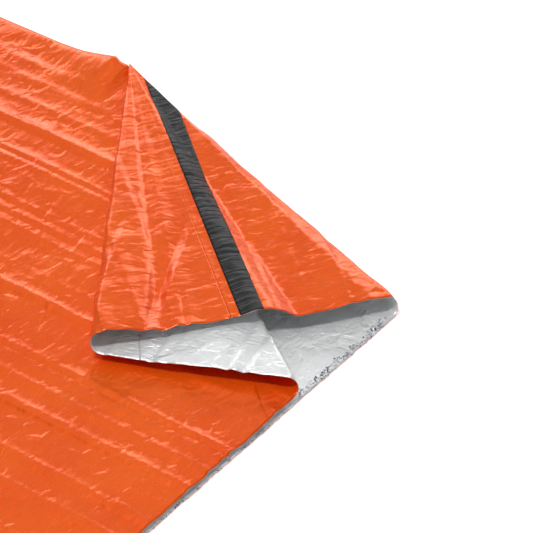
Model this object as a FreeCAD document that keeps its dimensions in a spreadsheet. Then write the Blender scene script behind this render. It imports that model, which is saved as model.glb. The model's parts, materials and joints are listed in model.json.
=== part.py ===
import FreeCAD, Part
import os

import Sketcher

# Emergency bivy sack: a flat tube of laminated film, orange outside and metallised inside,
# lying on the ground with its mouth towards -Y and one mouth corner turned back over the top.
#
# Frame: millimetres, +Z up, +Y from the mouth to the foot, origin on the ground under the
# middle of the sack. The turned corner belongs to the +X side.
#
# The corner folds about one apex A on the side fold. Seen from above, a direction at angle p
# from A is (-sin p, -cos p), with p = 0 along the side fold towards the mouth:
#   bottom panel folds up along A-M2 at p = outer_angle,
#   side seam comes to lie at p = 2 * outer_angle,
#   top panel folds over along A-M1 at p = inner_angle and back along A-C at p = edge_angle.
# Flat folding needs edge_angle = inner_angle + outer_angle.

SIZES = [
    ("sack_width", 915),  # flat width across both side folds
    ("sack_length", 2130),  # mouth rim to foot
    ("tube_height", 13),  # outside height of the flattened tube
    ("roll_height", 12),  # from the top panel up to the turned inner flap
    ("pocket_height", 13),  # outside height of the flap's two layers
    ("apex_reach", 570),  # apex A back from the mouth along the side
    ("outer_reach", 206),  # M2 in from the side, along the mouth
    ("inner_reach", 398),  # M1 in from the side, along the mouth
    ("shell_film", 0.5),  # stand-in thickness of the orange face
    ("liner_film", 0.3),  # stand-in thickness of the metallised face
    ("tape_width", 25),
    ("tape_film", 0.3),  # let into the orange face, so it lies flush
    ("tape_inset", 10),  # tape edge to side fold
    ("lap_width", 12),  # overlap of the film behind the tape
    ("foot_run", 30),  # length over which the top panel comes down to the foot seam
    ("hinge_gap", 0.3),  # flap edge to its fold line
    ("seam_gap_angle", 0.5),  # degrees from each flap's edge to the opened side fold
    ("apex_gap", 40),  # flap panels and rolls start this far from the apex
]

# Everything else follows from the sizes. Each entry may use the ones before it.
LAYOUT = [
    ("film", "Sizes.shell_film + Sizes.liner_film"),
    ("tube_radius", "Sizes.tube_height / 2"),
    ("side_x", "Sizes.sack_width / 2"),
    ("flat_x", "side_x - tube_radius"),
    ("foot_y", "Sizes.sack_length / 2"),
    ("mouth_y", "-foot_y"),
    ("apex_y", "mouth_y + Sizes.apex_reach"),
    ("band_y", "foot_y - Sizes.tape_width"),
    ("slope_y", "band_y - Sizes.foot_run"),
    ("outer_angle", "atan(Sizes.outer_reach / Sizes.apex_reach)"),
    ("inner_angle", "atan(Sizes.inner_reach / Sizes.apex_reach)"),
    ("edge_angle", "inner_angle + outer_angle"),
    ("seam_angle", "2 * outer_angle"),
    ("narrow_angle", "inner_angle - outer_angle"),
    ("gap_angle", "Sizes.seam_gap_angle * 1 deg"),
    ("outer_length", "Sizes.apex_reach / cos(outer_angle)"),
    ("inner_length", "Sizes.apex_reach / cos(inner_angle)"),
    ("edge_length", "Sizes.apex_reach / cos(narrow_angle)"),
    ("seam_length", "Sizes.apex_reach / cos(gap_angle)"),
    # heights of the outside faces, from the ground up
    ("inner_flap_z", "Sizes.tube_height + Sizes.roll_height"),
    ("top_z", "inner_flap_z + Sizes.pocket_height"),
    ("outer_radius", "top_z / 2"),
    ("inner_radius", "Sizes.roll_height / 2"),
    ("edge_radius", "Sizes.pocket_height / 2"),
    ("inner_axis_z", "Sizes.tube_height + inner_radius"),
    ("edge_axis_z", "inner_flap_z + edge_radius"),
    ("weld_top_z", "Sizes.shell_film + 2 * Sizes.liner_film"),
    # where the fold lines leave the flat panels beside the side fold
    ("outer_start_y", "apex_y - tube_radius / tan(outer_angle)"),
    ("inner_start_y", "apex_y - tube_radius / tan(inner_angle)"),
    ("outer_mouth_x", "side_x - Sizes.outer_reach"),
    ("inner_mouth_x", "side_x - Sizes.inner_reach"),
    # the tape and the lap behind it, measured in from the side fold
    ("tape_far", "Sizes.tape_inset + Sizes.tape_width"),
    ("lap_near", "Sizes.tape_inset + (Sizes.tape_width - Sizes.lap_width) / 2"),
    ("lap_far", "lap_near + Sizes.lap_width"),
    # rolls stop short of the rim, so that their round ends stay inside the mouth line, and the
    # outer roll starts where it has come inside the side fold
    ("outer_roll_start", "outer_radius / tan(outer_angle)"),
    ("outer_roll_run", "outer_length - outer_roll_start - outer_radius * tan(outer_angle)"),
    ("inner_roll_run", "inner_length - Sizes.apex_gap - (inner_radius + film) * tan(inner_angle)"),
    ("edge_roll_run", "edge_length - Sizes.apex_gap - edge_radius * tan(narrow_angle)"),
]


def make_sheets(doc):
    """The driving sizes as plain numbers, and a second sheet of formulas on them."""
    sizes = doc.addObject("Spreadsheet::Sheet", "Sizes")
    for row, (alias, value) in enumerate(SIZES, start=1):
        sizes.set(f"A{row}", alias)
        sizes.set(f"B{row}", str(value))
        sizes.setAlias(f"B{row}", alias)
    layout = doc.addObject("Spreadsheet::Sheet", "Layout")
    for row, (alias, formula) in enumerate(LAYOUT, start=1):
        layout.set(f"A{row}", alias)
        layout.setAlias(f"B{row}", alias)
        layout.set(f"B{row}", f"={formula}")
    doc.recompute()
    return layout


def polar(angle, reach):
    """The point this far from the apex, at this angle from the side fold."""
    x = f"Layout.side_x - ({reach}) * sin({angle})"
    y = f"Layout.apex_y - ({reach}) * cos({angle})"
    return x, y


def off_line(angle, along, inset):
    """The point this far along the line at this angle, and this far to its corner side."""
    x = f"Layout.side_x - ({along}) * sin({angle}) + ({inset}) * cos({angle})"
    y = f"Layout.apex_y - ({along}) * cos({angle}) - ({inset}) * sin({angle})"
    return x, y


def value_of(expression):
    """A plain number for an expression, used only to draw a sketch near its final shape."""
    found = layout.evalExpression(expression)
    return float(getattr(found, "Value", found))


def new_body(label, z):
    body = doc.addObject("PartDesign::Body", label)
    body.Label = label
    body.setExpression(".Placement.Base.z", z)
    return body


def new_sketch(body, role, name):
    """A sketch on one of the body's own origin planes."""
    plane = [f for f in body.Origin.OriginFeatures if f.Role == role][0]
    sketch = body.newObject("Sketcher::SketchObject", name)
    sketch.AttachmentSupport = [(plane, "")]
    sketch.MapMode = "FlatFace"
    return sketch


def place_point(sketch, line, end, point):
    """Ties one end of a line to a pair of expressions measured from the sketch's origin."""
    for kind, expression in zip(("DistanceX", "DistanceY"), point):
        value = value_of(expression)
        index = sketch.addConstraint(Sketcher.Constraint(kind, -1, 1, line, end, value))
        sketch.setExpression(f"Constraints[{index}]", expression)


def draw_outline(sketch, corners):
    """A closed polygon through corners, each of them a pair of expressions."""
    spots = [FreeCAD.Vector(value_of(x), value_of(y), 0) for x, y in corners]
    lines = []
    for start, end in zip(spots, spots[1:] + spots[:1]):
        lines.append(sketch.addGeometry(Part.LineSegment(start, end)))
    for line, following in zip(lines, lines[1:] + lines[:1]):
        sketch.addConstraint(Sketcher.Constraint("Coincident", line, 2, following, 1))
    for line, corner in zip(lines, corners):
        place_point(sketch, line, 1, corner)


def panel(label, corners, z, thickness, recess=None, recess_down=False):
    """A flat piece of film: an outline on the level plane, padded up from height z.

    recess is the outline that the tape lies in, cut tape_film deep into the top face, or
    into the underside when recess_down is set.
    """
    body = new_body(label, z)
    sketch = new_sketch(body, "XY_Plane", f"{label}_outline")
    draw_outline(sketch, corners)
    pad = body.newObject("PartDesign::Pad", f"{label}_pad")
    pad.Profile = sketch
    pad.setExpression("Length", thickness)
    if recess:
        doc.recompute()
        whole = body.Shape.Volume
        seat = new_sketch(body, "XY_Plane", f"{label}_tape_seat")
        draw_outline(seat, recess)
        if not recess_down:
            seat.setExpression(".AttachmentOffset.Base.z", thickness)
        pocket = body.newObject("PartDesign::Pocket", f"{label}_recess")
        pocket.Profile = seat
        pocket.Reversed = recess_down
        pocket.setExpression("Length", "Sizes.tape_film")
        doc.recompute()
        if body.Shape.Volume >= whole:
            raise RuntimeError(f"{label}: the tape recess cut nothing")
    return body


def draw_half_ring(sketch, radius, thickness):
    """A half ring about the sketch's origin, open towards -X, with its ends on the Y axis."""
    inner = value_of(radius)
    outer = inner + value_of(thickness)
    centre, normal = FreeCAD.Vector(0, 0, 0), FreeCAD.Vector(0, 0, 1)
    arcs = [
        sketch.addGeometry(Part.ArcOfCircle(Part.Circle(centre, normal, size), -1.5707963, 1.5707963))
        for size in (inner, outer)
    ]
    for arc in arcs:
        sketch.addConstraint(Sketcher.Constraint("Coincident", arc, 3, -1, 1))
        for end in (1, 2):
            sketch.addConstraint(Sketcher.Constraint("PointOnObject", arc, end, -2))
    for end, side in ((1, -1), (2, 1)):
        a, b = FreeCAD.Vector(0, side * inner, 0), FreeCAD.Vector(0, side * outer, 0)
        line = sketch.addGeometry(Part.LineSegment(a, b))
        sketch.addConstraint(Sketcher.Constraint("Coincident", line, 1, arcs[0], end))
        sketch.addConstraint(Sketcher.Constraint("Coincident", line, 2, arcs[1], end))
    for arc, size in zip(arcs, (radius, f"{radius} + {thickness}")):
        index = sketch.addConstraint(Sketcher.Constraint("Radius", arc, value_of(size)))
        sketch.setExpression(f"Constraints[{index}]", size)


def roll(label, radius, thickness, axis_z, start, turn, run):
    """Film bent round half a turn. Its inside has this radius, and its axis starts at start.

    Unturned, the axis runs towards -Y and the roll bulges towards +X; turn is the angle about
    +Z that brings it to its own direction.
    """
    body = new_body(label, axis_z)
    body.setExpression(".Placement.Base.x", start[0])
    body.setExpression(".Placement.Base.y", start[1])
    body.setExpression(".Placement.Rotation.Angle", turn)
    sketch = new_sketch(body, "XZ_Plane", f"{label}_section")
    draw_half_ring(sketch, radius, thickness)
    pad = body.newObject("PartDesign::Pad", f"{label}_pad")
    pad.Profile = sketch
    pad.setExpression("Length", run)
    return body


def side_section(label, corners, width):
    """A band across the sack: an outline in the Y-Z plane, padded to both sides of x = 0."""
    body = new_body(label, "0")
    sketch = new_sketch(body, "YZ_Plane", f"{label}_section")
    draw_outline(sketch, corners)
    pad = body.newObject("PartDesign::Pad", f"{label}_pad")
    pad.Profile = sketch
    pad.Midplane = True
    pad.setExpression("Length", width)
    return body


# ---- the sack on the ground ---------------------------------------------------------------


def body_outline(mouth_x, start_y, end_y):
    """A panel from the mouth to end_y, less the corner beyond its fold line."""
    return [
        ("-Layout.flat_x", "Layout.mouth_y"),
        (mouth_x, "Layout.mouth_y"),
        ("Layout.flat_x", start_y),
        ("Layout.flat_x", end_y),
        ("-Layout.flat_x", end_y),
    ]


def ground_strip(near, far, end_y):
    """A strip along the side fold, from the outer fold line to end_y."""
    cut = "Layout.apex_y - ({0}) / tan(Layout.outer_angle)"
    return [
        (f"Layout.side_x - {far}", cut.format(far)),
        (f"Layout.side_x - {near}", cut.format(near)),
        (f"Layout.side_x - {near}", end_y),
        (f"Layout.side_x - {far}", end_y),
    ]


def make_ground_panel():
    """The bottom panel, with the side seam's tape let into its underside."""
    corners = ("Layout.outer_mouth_x", "Layout.outer_start_y")
    tape = ground_strip("Sizes.tape_inset", "Layout.tape_far", "Layout.foot_y")
    lap = ground_strip("Layout.lap_near", "Layout.lap_far", "Layout.slope_y")
    shell = body_outline(*corners, "Layout.foot_y")
    panel("lower_shell", shell, "0", "Sizes.shell_film", tape, recess_down=True)
    panel("lower_liner", body_outline(*corners, "Layout.band_y"), "Sizes.shell_film", "Sizes.liner_film")
    panel("side_seam_tape", tape, "0", "Sizes.tape_film")
    panel("side_seam_lap", lap, "Layout.film", "Sizes.liner_film")


def make_top_panel():
    """The top panel, as far as the line where its corner turns over."""
    outline = body_outline("Layout.inner_mouth_x", "Layout.inner_start_y", "Layout.slope_y")
    panel("upper_shell", outline, "Sizes.tube_height - Sizes.shell_film", "Sizes.shell_film")
    panel("upper_liner", outline, "Sizes.tube_height - Layout.film", "Sizes.liner_film")


def make_side_folds():
    """The two long factory folds that join the bottom and top panels."""
    near = ("-Layout.flat_x", "Layout.mouth_y"), "180 deg", "Layout.slope_y - Layout.mouth_y"
    far = ("Layout.flat_x", "Layout.slope_y"), "0 deg", "Layout.slope_y - Layout.apex_y"
    for side, place in (("near", near), ("far", far)):
        layered_roll(f"{side}_side", "Layout.tube_radius", "Layout.tube_radius", place, orange_out=True)


def make_foot():
    """The foot: the top panel comes down to the ground and is sealed to the bottom panel."""
    width = "2 * Layout.flat_x"
    band_y, slope_y = "Layout.band_y", "Layout.slope_y"
    top, weld_top = "Sizes.tube_height", "Layout.weld_top_z"
    shell = [
        (slope_y, f"{top} - Sizes.shell_film"),
        (band_y, weld_top),
        ("Layout.foot_y", weld_top),
        ("Layout.foot_y", f"{weld_top} + Sizes.shell_film"),
        (band_y, f"{weld_top} + Sizes.shell_film"),
        (slope_y, top),
    ]
    liner = [
        (slope_y, f"{top} - Layout.film"),
        (band_y, f"{weld_top} - Sizes.liner_film"),
        (band_y, weld_top),
        (slope_y, f"{top} - Sizes.shell_film"),
    ]
    side_section("foot_shell", shell, width)
    side_section("foot_liner", liner, width)
    band = [
        ("-Layout.flat_x", band_y),
        ("Layout.flat_x", band_y),
        ("Layout.flat_x", "Layout.foot_y"),
        ("-Layout.flat_x", "Layout.foot_y"),
    ]
    panel("foot_weld", band, "Sizes.shell_film", "2 * Sizes.liner_film")
    panel("foot_tape", band, f"{weld_top} + Sizes.shell_film", "Sizes.tape_film")


# ---- the turned corner --------------------------------------------------------------------


def layered_roll(label, orange_radius, axis_z, place, orange_out):
    """A bent length of film as two rolls. orange_radius is that of the orange outside face."""
    start, turn, run = place
    shell, liner = "Sizes.shell_film", "Sizes.liner_film"
    if orange_out:
        radii = f"{orange_radius} - {shell}", f"{orange_radius} - Layout.film"
    else:
        radii = orange_radius, f"{orange_radius} + {shell}"
    roll(f"{label}_fold_shell", radii[0], shell, axis_z, start, turn, run)
    roll(f"{label}_fold_liner", radii[1], liner, axis_z, start, turn, run)


def make_corner_rolls():
    """The rounded film along the three fold lines of the turned corner."""
    outer_start = polar("Layout.outer_angle", "Layout.outer_roll_start")
    inner_start = polar("Layout.inner_angle", "Sizes.apex_gap")
    edge_start = polar("Layout.edge_angle", "Sizes.apex_gap + Layout.edge_roll_run")
    outer = outer_start, "-Layout.outer_angle", "Layout.outer_roll_run"
    inner = inner_start, "-Layout.inner_angle", "Layout.inner_roll_run"
    edge = edge_start, "180 deg - Layout.edge_angle", "Layout.edge_roll_run"
    layered_roll("outer", "Layout.outer_radius", "Layout.outer_radius", outer, orange_out=True)
    layered_roll("inner", "Layout.inner_radius", "Layout.inner_axis_z", inner, orange_out=False)
    layered_roll("edge", "Layout.edge_radius", "Layout.edge_axis_z", edge, orange_out=True)


def flap_outline(first, second):
    """A flap between two lines from the apex: each an angle, a length and a gap to the left."""
    corners = []
    for angle, length, gap, order in ((*first, (0, 1)), (*second, (1, 0))):
        ends = ("Sizes.apex_gap", length)
        corners += [off_line(angle, ends[i], gap) for i in order]
    return corners


def seam_strip(near, far):
    """A strip on the outer flap along the side seam, from the outer fold line to the rim."""
    seam, reach = "Layout.seam_angle", "Sizes.apex_reach"
    cut = "({0}) / tan(Layout.outer_angle)"
    return [
        off_line(seam, cut.format(near), near),
        off_line(seam, reach, near),
        off_line(seam, reach, far),
        off_line(seam, cut.format(far), far),
    ]


def make_outer_flap():
    """The bottom panel's corner, turned up over the top, with the seam's tape on its face."""
    hinge = "Layout.outer_angle", "Layout.outer_length", "-Sizes.hinge_gap"
    seam = "Layout.seam_angle - Layout.gap_angle", "Layout.seam_length", "0"
    outline = flap_outline(hinge, seam)
    tape = seam_strip("Sizes.tape_inset", "Layout.tape_far")
    lap = seam_strip("Layout.lap_near", "Layout.lap_far")
    panel("outer_flap_shell", outline, "Layout.top_z - Sizes.shell_film", "Sizes.shell_film", tape)
    panel("outer_flap_liner", outline, "Layout.top_z - Layout.film", "Sizes.liner_film")
    panel("flap_seam_tape", tape, "Layout.top_z - Sizes.tape_film", "Sizes.tape_film")
    panel("flap_seam_lap", lap, "Layout.top_z - Layout.film - Sizes.liner_film", "Sizes.liner_film")


def make_edge_flap():
    """The top panel's corner beside the seam, folded back to lie level with the outer flap."""
    seam = "Layout.seam_angle + Layout.gap_angle", "Layout.seam_length", "0"
    hinge = "Layout.edge_angle", "Layout.edge_length", "Sizes.hinge_gap"
    outline = flap_outline(seam, hinge)
    panel("edge_flap_shell", outline, "Layout.top_z - Sizes.shell_film", "Sizes.shell_film")
    panel("edge_flap_liner", outline, "Layout.top_z - Layout.film", "Sizes.liner_film")


def make_inner_flap():
    """The top panel's turned part, orange face down, between the body and the edge flap."""
    hinge = "Layout.inner_angle", "Layout.inner_length", "-Sizes.hinge_gap"
    edge = "Layout.edge_angle", "Layout.edge_length", "Sizes.hinge_gap"
    outline = flap_outline(hinge, edge)
    shell_top = "Layout.inner_flap_z + Sizes.shell_film"
    panel("inner_flap_shell", outline, "Layout.inner_flap_z", "Sizes.shell_film")
    panel("inner_flap_liner", outline, shell_top, "Sizes.liner_film")


def check_document():
    """Stops on any failed object or bad solid before a file is written."""
    for item in doc.Objects:
        if "Invalid" in item.State or "Error" in item.State:
            raise RuntimeError(f"{item.Name} failed: {item.State}")
    bodies = [item for item in doc.Objects if item.TypeId == "PartDesign::Body"]
    for body in bodies:
        if body.Shape.isNull() or not body.Shape.isValid() or len(body.Shape.Solids) != 1:
            raise RuntimeError(f"{body.Label} isn't one valid solid")
    return bodies


doc = FreeCAD.newDocument("BivySack")
layout = make_sheets(doc)
make_ground_panel()
make_top_panel()
make_side_folds()
make_foot()
make_corner_rolls()
make_outer_flap()
make_edge_flap()
make_inner_flap()
doc.recompute()
os.makedirs("parts", exist_ok=True)
for body in check_document():
    body.Shape.exportStep(f"parts/{body.Label}.step")
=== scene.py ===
import json
import logging
import math
from dataclasses import dataclass, field
from enum import Enum
from typing import Optional, Sequence

import bmesh
import bpy
import numpy as np
from mathutils import Matrix, Vector


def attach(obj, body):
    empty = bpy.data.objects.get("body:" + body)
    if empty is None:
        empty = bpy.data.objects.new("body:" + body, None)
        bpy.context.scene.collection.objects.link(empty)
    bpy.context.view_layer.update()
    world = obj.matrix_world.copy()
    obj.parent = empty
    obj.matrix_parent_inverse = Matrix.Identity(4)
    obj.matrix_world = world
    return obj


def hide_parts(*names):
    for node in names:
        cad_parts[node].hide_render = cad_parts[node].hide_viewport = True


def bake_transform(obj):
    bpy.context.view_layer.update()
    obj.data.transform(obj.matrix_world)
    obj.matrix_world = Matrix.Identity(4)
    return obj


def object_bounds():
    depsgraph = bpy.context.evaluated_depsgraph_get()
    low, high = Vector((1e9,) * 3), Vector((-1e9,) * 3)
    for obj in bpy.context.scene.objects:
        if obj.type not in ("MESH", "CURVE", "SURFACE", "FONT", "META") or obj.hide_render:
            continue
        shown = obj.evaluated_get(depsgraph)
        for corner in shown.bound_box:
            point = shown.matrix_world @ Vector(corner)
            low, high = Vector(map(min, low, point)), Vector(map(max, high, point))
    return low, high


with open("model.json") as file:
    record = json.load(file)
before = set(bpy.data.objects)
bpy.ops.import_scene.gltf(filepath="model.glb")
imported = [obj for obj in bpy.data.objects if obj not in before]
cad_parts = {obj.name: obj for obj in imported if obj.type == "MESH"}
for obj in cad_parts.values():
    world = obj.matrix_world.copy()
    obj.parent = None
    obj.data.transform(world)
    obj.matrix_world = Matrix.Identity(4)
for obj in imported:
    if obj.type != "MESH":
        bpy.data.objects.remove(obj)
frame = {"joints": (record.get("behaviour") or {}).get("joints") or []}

log = logging.getLogger("bivy_sack")
MM = 0.001
SKEW = 0.36602540  # turns a square lattice into one of equal-sided triangles
CAD_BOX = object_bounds()
Array = np.ndarray


class Unit(Enum):
    """A small shape that is repeated along a line."""

    FLAKE = "flake"
    RIB = "rib"


# ---- noise ----


def hash_grid(i: Array, j: Array, seed: int) -> Array:
    """A repeatable random number for each lattice point.

    Args:
        i: Lattice column numbers.
        j: Lattice row numbers.
        seed: Changes the whole pattern.

    Returns:
        Values from -1 to 1, one for each point.
    """
    mixed = (i.astype(np.int64) * 374761393 + j.astype(np.int64) * 668265263 + seed * 974634777)
    mixed = (mixed ^ (mixed >> 13)) * 1274126177
    mixed = mixed ^ (mixed >> 16)
    return (mixed & 0xFFFF) / 32767.5 - 1.0


def facets(x: Array, y: Array, size: float, seed: int) -> Array:
    """Piecewise flat noise: a triangular lattice with a random height at each corner.

    Args:
        x: Film coordinate across the sack, in metres.
        y: Film coordinate along the sack, in metres.
        size: Side of a facet, in metres.
        seed: Changes the pattern.

    Returns:
        Heights from -1 to 1, flat over each facet and creased between them.
    """
    skew = (x + y) * SKEW
    u, v = (x + skew) / size, (y + skew) / size
    i, j = np.floor(u), np.floor(v)
    a, b = u - i, v - j
    upper = a > b
    corner = hash_grid(i, j, seed)
    across = hash_grid(i + 1, j + 1, seed)
    third = np.where(upper, hash_grid(i + 1, j, seed), hash_grid(i, j + 1, seed))
    big, small = np.where(upper, a, b), np.where(upper, b, a)
    return corner * (1 - big) + third * (big - small) + across * small


def swell(x: Array, y: Array, size: float, seed: int) -> Array:
    """Smooth noise from -1 to 1, with features about this size."""
    u, v = x / size, y / size
    i, j = np.floor(u), np.floor(v)
    a, b = u - i, v - j
    a, b = a * a * (3 - 2 * a), b * b * (3 - 2 * b)
    low = hash_grid(i, j, seed) * (1 - a) + hash_grid(i + 1, j, seed) * a
    high = hash_grid(i, j + 1, seed) * (1 - a) + hash_grid(i + 1, j + 1, seed) * a
    return low * (1 - b) + high * b


def ease(t: Array) -> Array:
    """Smooth step from 0 to 1."""
    t = np.clip(t, 0, 1)
    return t * t * (3 - 2 * t)


# ---- the film's creases ----


@dataclass(frozen=True)
class Creases:
    """Relief of the film, as packed, crumpled and spread out again.

    Each ridge is a long fold line from its packing: its distance from the seam side's fold, the
    width of its rising flank, the width of its falling flank, and its height, in millimetres.
    """

    ridges: tuple = (
        (56, 6, 19, 1.1), (92, 12, 5, 0.9), (132, 14, 6, 2.0), (177, 15, 5, 2.4), (228, 11, 5, 1.6),
        (243, 9, 6, 1.2), (309, 12, 5, 2.0), (327, 12, 6, 1.9), (346, 11, 7, 1.3), (405, 9, 5, 1.0),
        (442, 15, 5, 2.3), (526, 13, 4, 1.9), (541, 10, 7, 1.5), (566, 12, 6, 1.5), (604, 16, 8, 2.5),
        (674, 15, 6, 2.2), (714, 12, 8, 1.9), (775, 14, 5, 1.6), (840, 15, 8, 1.6), (885, 10, 10, 0.8),
    )
    sharpness: float = 1.3
    # dents in the turned corner: ends as distance off the fold and off the mouth, half width, depth
    dents: tuple = ((0.092, 0.0, 0.004, 0.215, 0.017, 0.0052), (0.047, 0.0, 0.035, 0.100, 0.009, 0.0030),
                    (0.125, 0.10, 0.070, 0.235, 0.012, 0.0022))
    cross_pitch: float = 0.196
    cross_ridge: float = 0.0008
    crumple: tuple = ((0.068, 0.0011), (0.029, 0.00052), (0.013, 0.00020))
    wrinkle: float = 0.00020

    def lines(self) -> Array:
        """Every place across the film where a flank starts or ends, in metres."""
        ridges = np.array(self.ridges) * MM
        return np.concatenate([ridges[:, 0] - ridges[:, 1], ridges[:, 0], ridges[:, 0] + ridges[:, 2]])

    def across(self, d: Array, y: Array, seed: int) -> Array:
        """Height of the long fold lines, which run the length of the sack."""
        height = np.zeros_like(d)
        for k, (place, rise, fall, top) in enumerate(self.ridges):
            gap = d - place * MM
            roof = np.where(gap < 0, 1 + gap / (rise * MM), 1 - gap / (fall * MM))
            fade = 0.8 + 0.35 * swell(y, y * 0, 0.23, seed + 7 * k)
            height += self.sharpness * top * MM * fade * np.clip(roof, 0, 1)
        return height

    def dented(self, d: Array, mouth: Array) -> Array:
        """Depth of the dents pressed into the turned corner, by distance off the mouth."""
        height = np.zeros_like(d)
        for d0, m0, d1, m1, width, depth in self.dents:
            run = math.hypot(d1 - d0, m1 - m0)
            along = ((d - d0) * (d1 - d0) + (mouth - m0) * (m1 - m0)) / run
            off = ((d - d0) * (m1 - m0) - (mouth - m0) * (d1 - d0)) / run
            valley = np.where(off < 0, 1 + off / (width * 0.55), 1 - off / width)
            height -= depth * np.clip(valley, 0, 1) * ease((run - along) / 0.05) * ease((along + 0.03) / 0.03)
        return height

    def along(self, d: Array, y: Array, seed: int) -> Array:
        """Height of the cross folds, which run over the width."""
        phase = y / self.cross_pitch + 0.02 * swell(d, y, 0.12, seed)
        saw = 1 - 2 * np.abs(phase - np.floor(phase) - 0.5)
        peak = np.clip(saw * 5 - 4, 0, 1)
        return self.cross_ridge * peak * (0.6 + 0.6 * swell(d, y, 0.17, seed + 3))

    def relief(self, d: Array, y: Array, seed: int) -> Array:
        """Outward height of the film's relief.

        Args:
            d: Distance from the seam side's fold, in film, in metres.
            y: Film coordinate along the sack, in metres.
            seed: One number for each panel of film.

        Returns:
            Heights in metres.
        """
        warp = 0.006 * swell(d, y, 0.05, seed + 11)
        height = self.across(d, y, seed) + self.along(d, y, seed + 1)
        for k, (size, depth) in enumerate(self.crumple):
            live = 0.65 + 0.55 * swell(d, y, size * 5, seed + 31 + k)
            height += depth * live * facets(d + warp, (y + warp) * 0.8, size, seed + 41 + k)
        tight = 0.5 + 0.5 * swell(d, y, 0.09, seed + 61)
        height += self.wrinkle * tight * facets(d * 0.45 + warp, y * 1.5, 0.009, seed + 71)
        return height


# ---- where the film lies ----


@dataclass
class Layout:
    """Places of the fold lines, all worked out from the frame's joints and boxes."""

    low: Vector = field(default_factory=lambda: CAD_BOX[0])
    high: Vector = field(default_factory=lambda: CAD_BOX[1])

    def __post_init__(self) -> None:
        """Finds the apex, the fold angles and the mouth line."""
        joints = {j["name"]: j for j in frame["joints"]}
        self.outer = self.angle_of(joints["outer_fold"])
        self.inner = self.angle_of(joints["inner_fold"])
        self.edge = self.inner + self.outer
        self.side_x, self.mouth_y, self.foot_y = self.high.x, self.low.y, self.high.y
        mid = joints["outer_fold"]["pos_m"]
        apex_y = mid[1] + (self.side_x - mid[0]) / math.tan(self.outer)
        self.apex = np.array([self.side_x, apex_y])
        self.reach = apex_y - self.mouth_y
        self.width = self.side_x - self.low.x

    @staticmethod
    def angle_of(joint: dict) -> float:
        """The angle between a fold line and the side fold, from its hinge axis."""
        return math.atan2(abs(joint["axis"][0]), abs(joint["axis"][1]))

    def heading(self, angle: float) -> Array:
        """Unit vector from the apex at this angle from the side fold."""
        return np.array([-math.sin(angle), -math.cos(angle)])

    def out_of(self, angle: float) -> Array:
        """Unit vector square to that heading, on its corner side."""
        return np.array([math.cos(angle), -math.sin(angle)])


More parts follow.
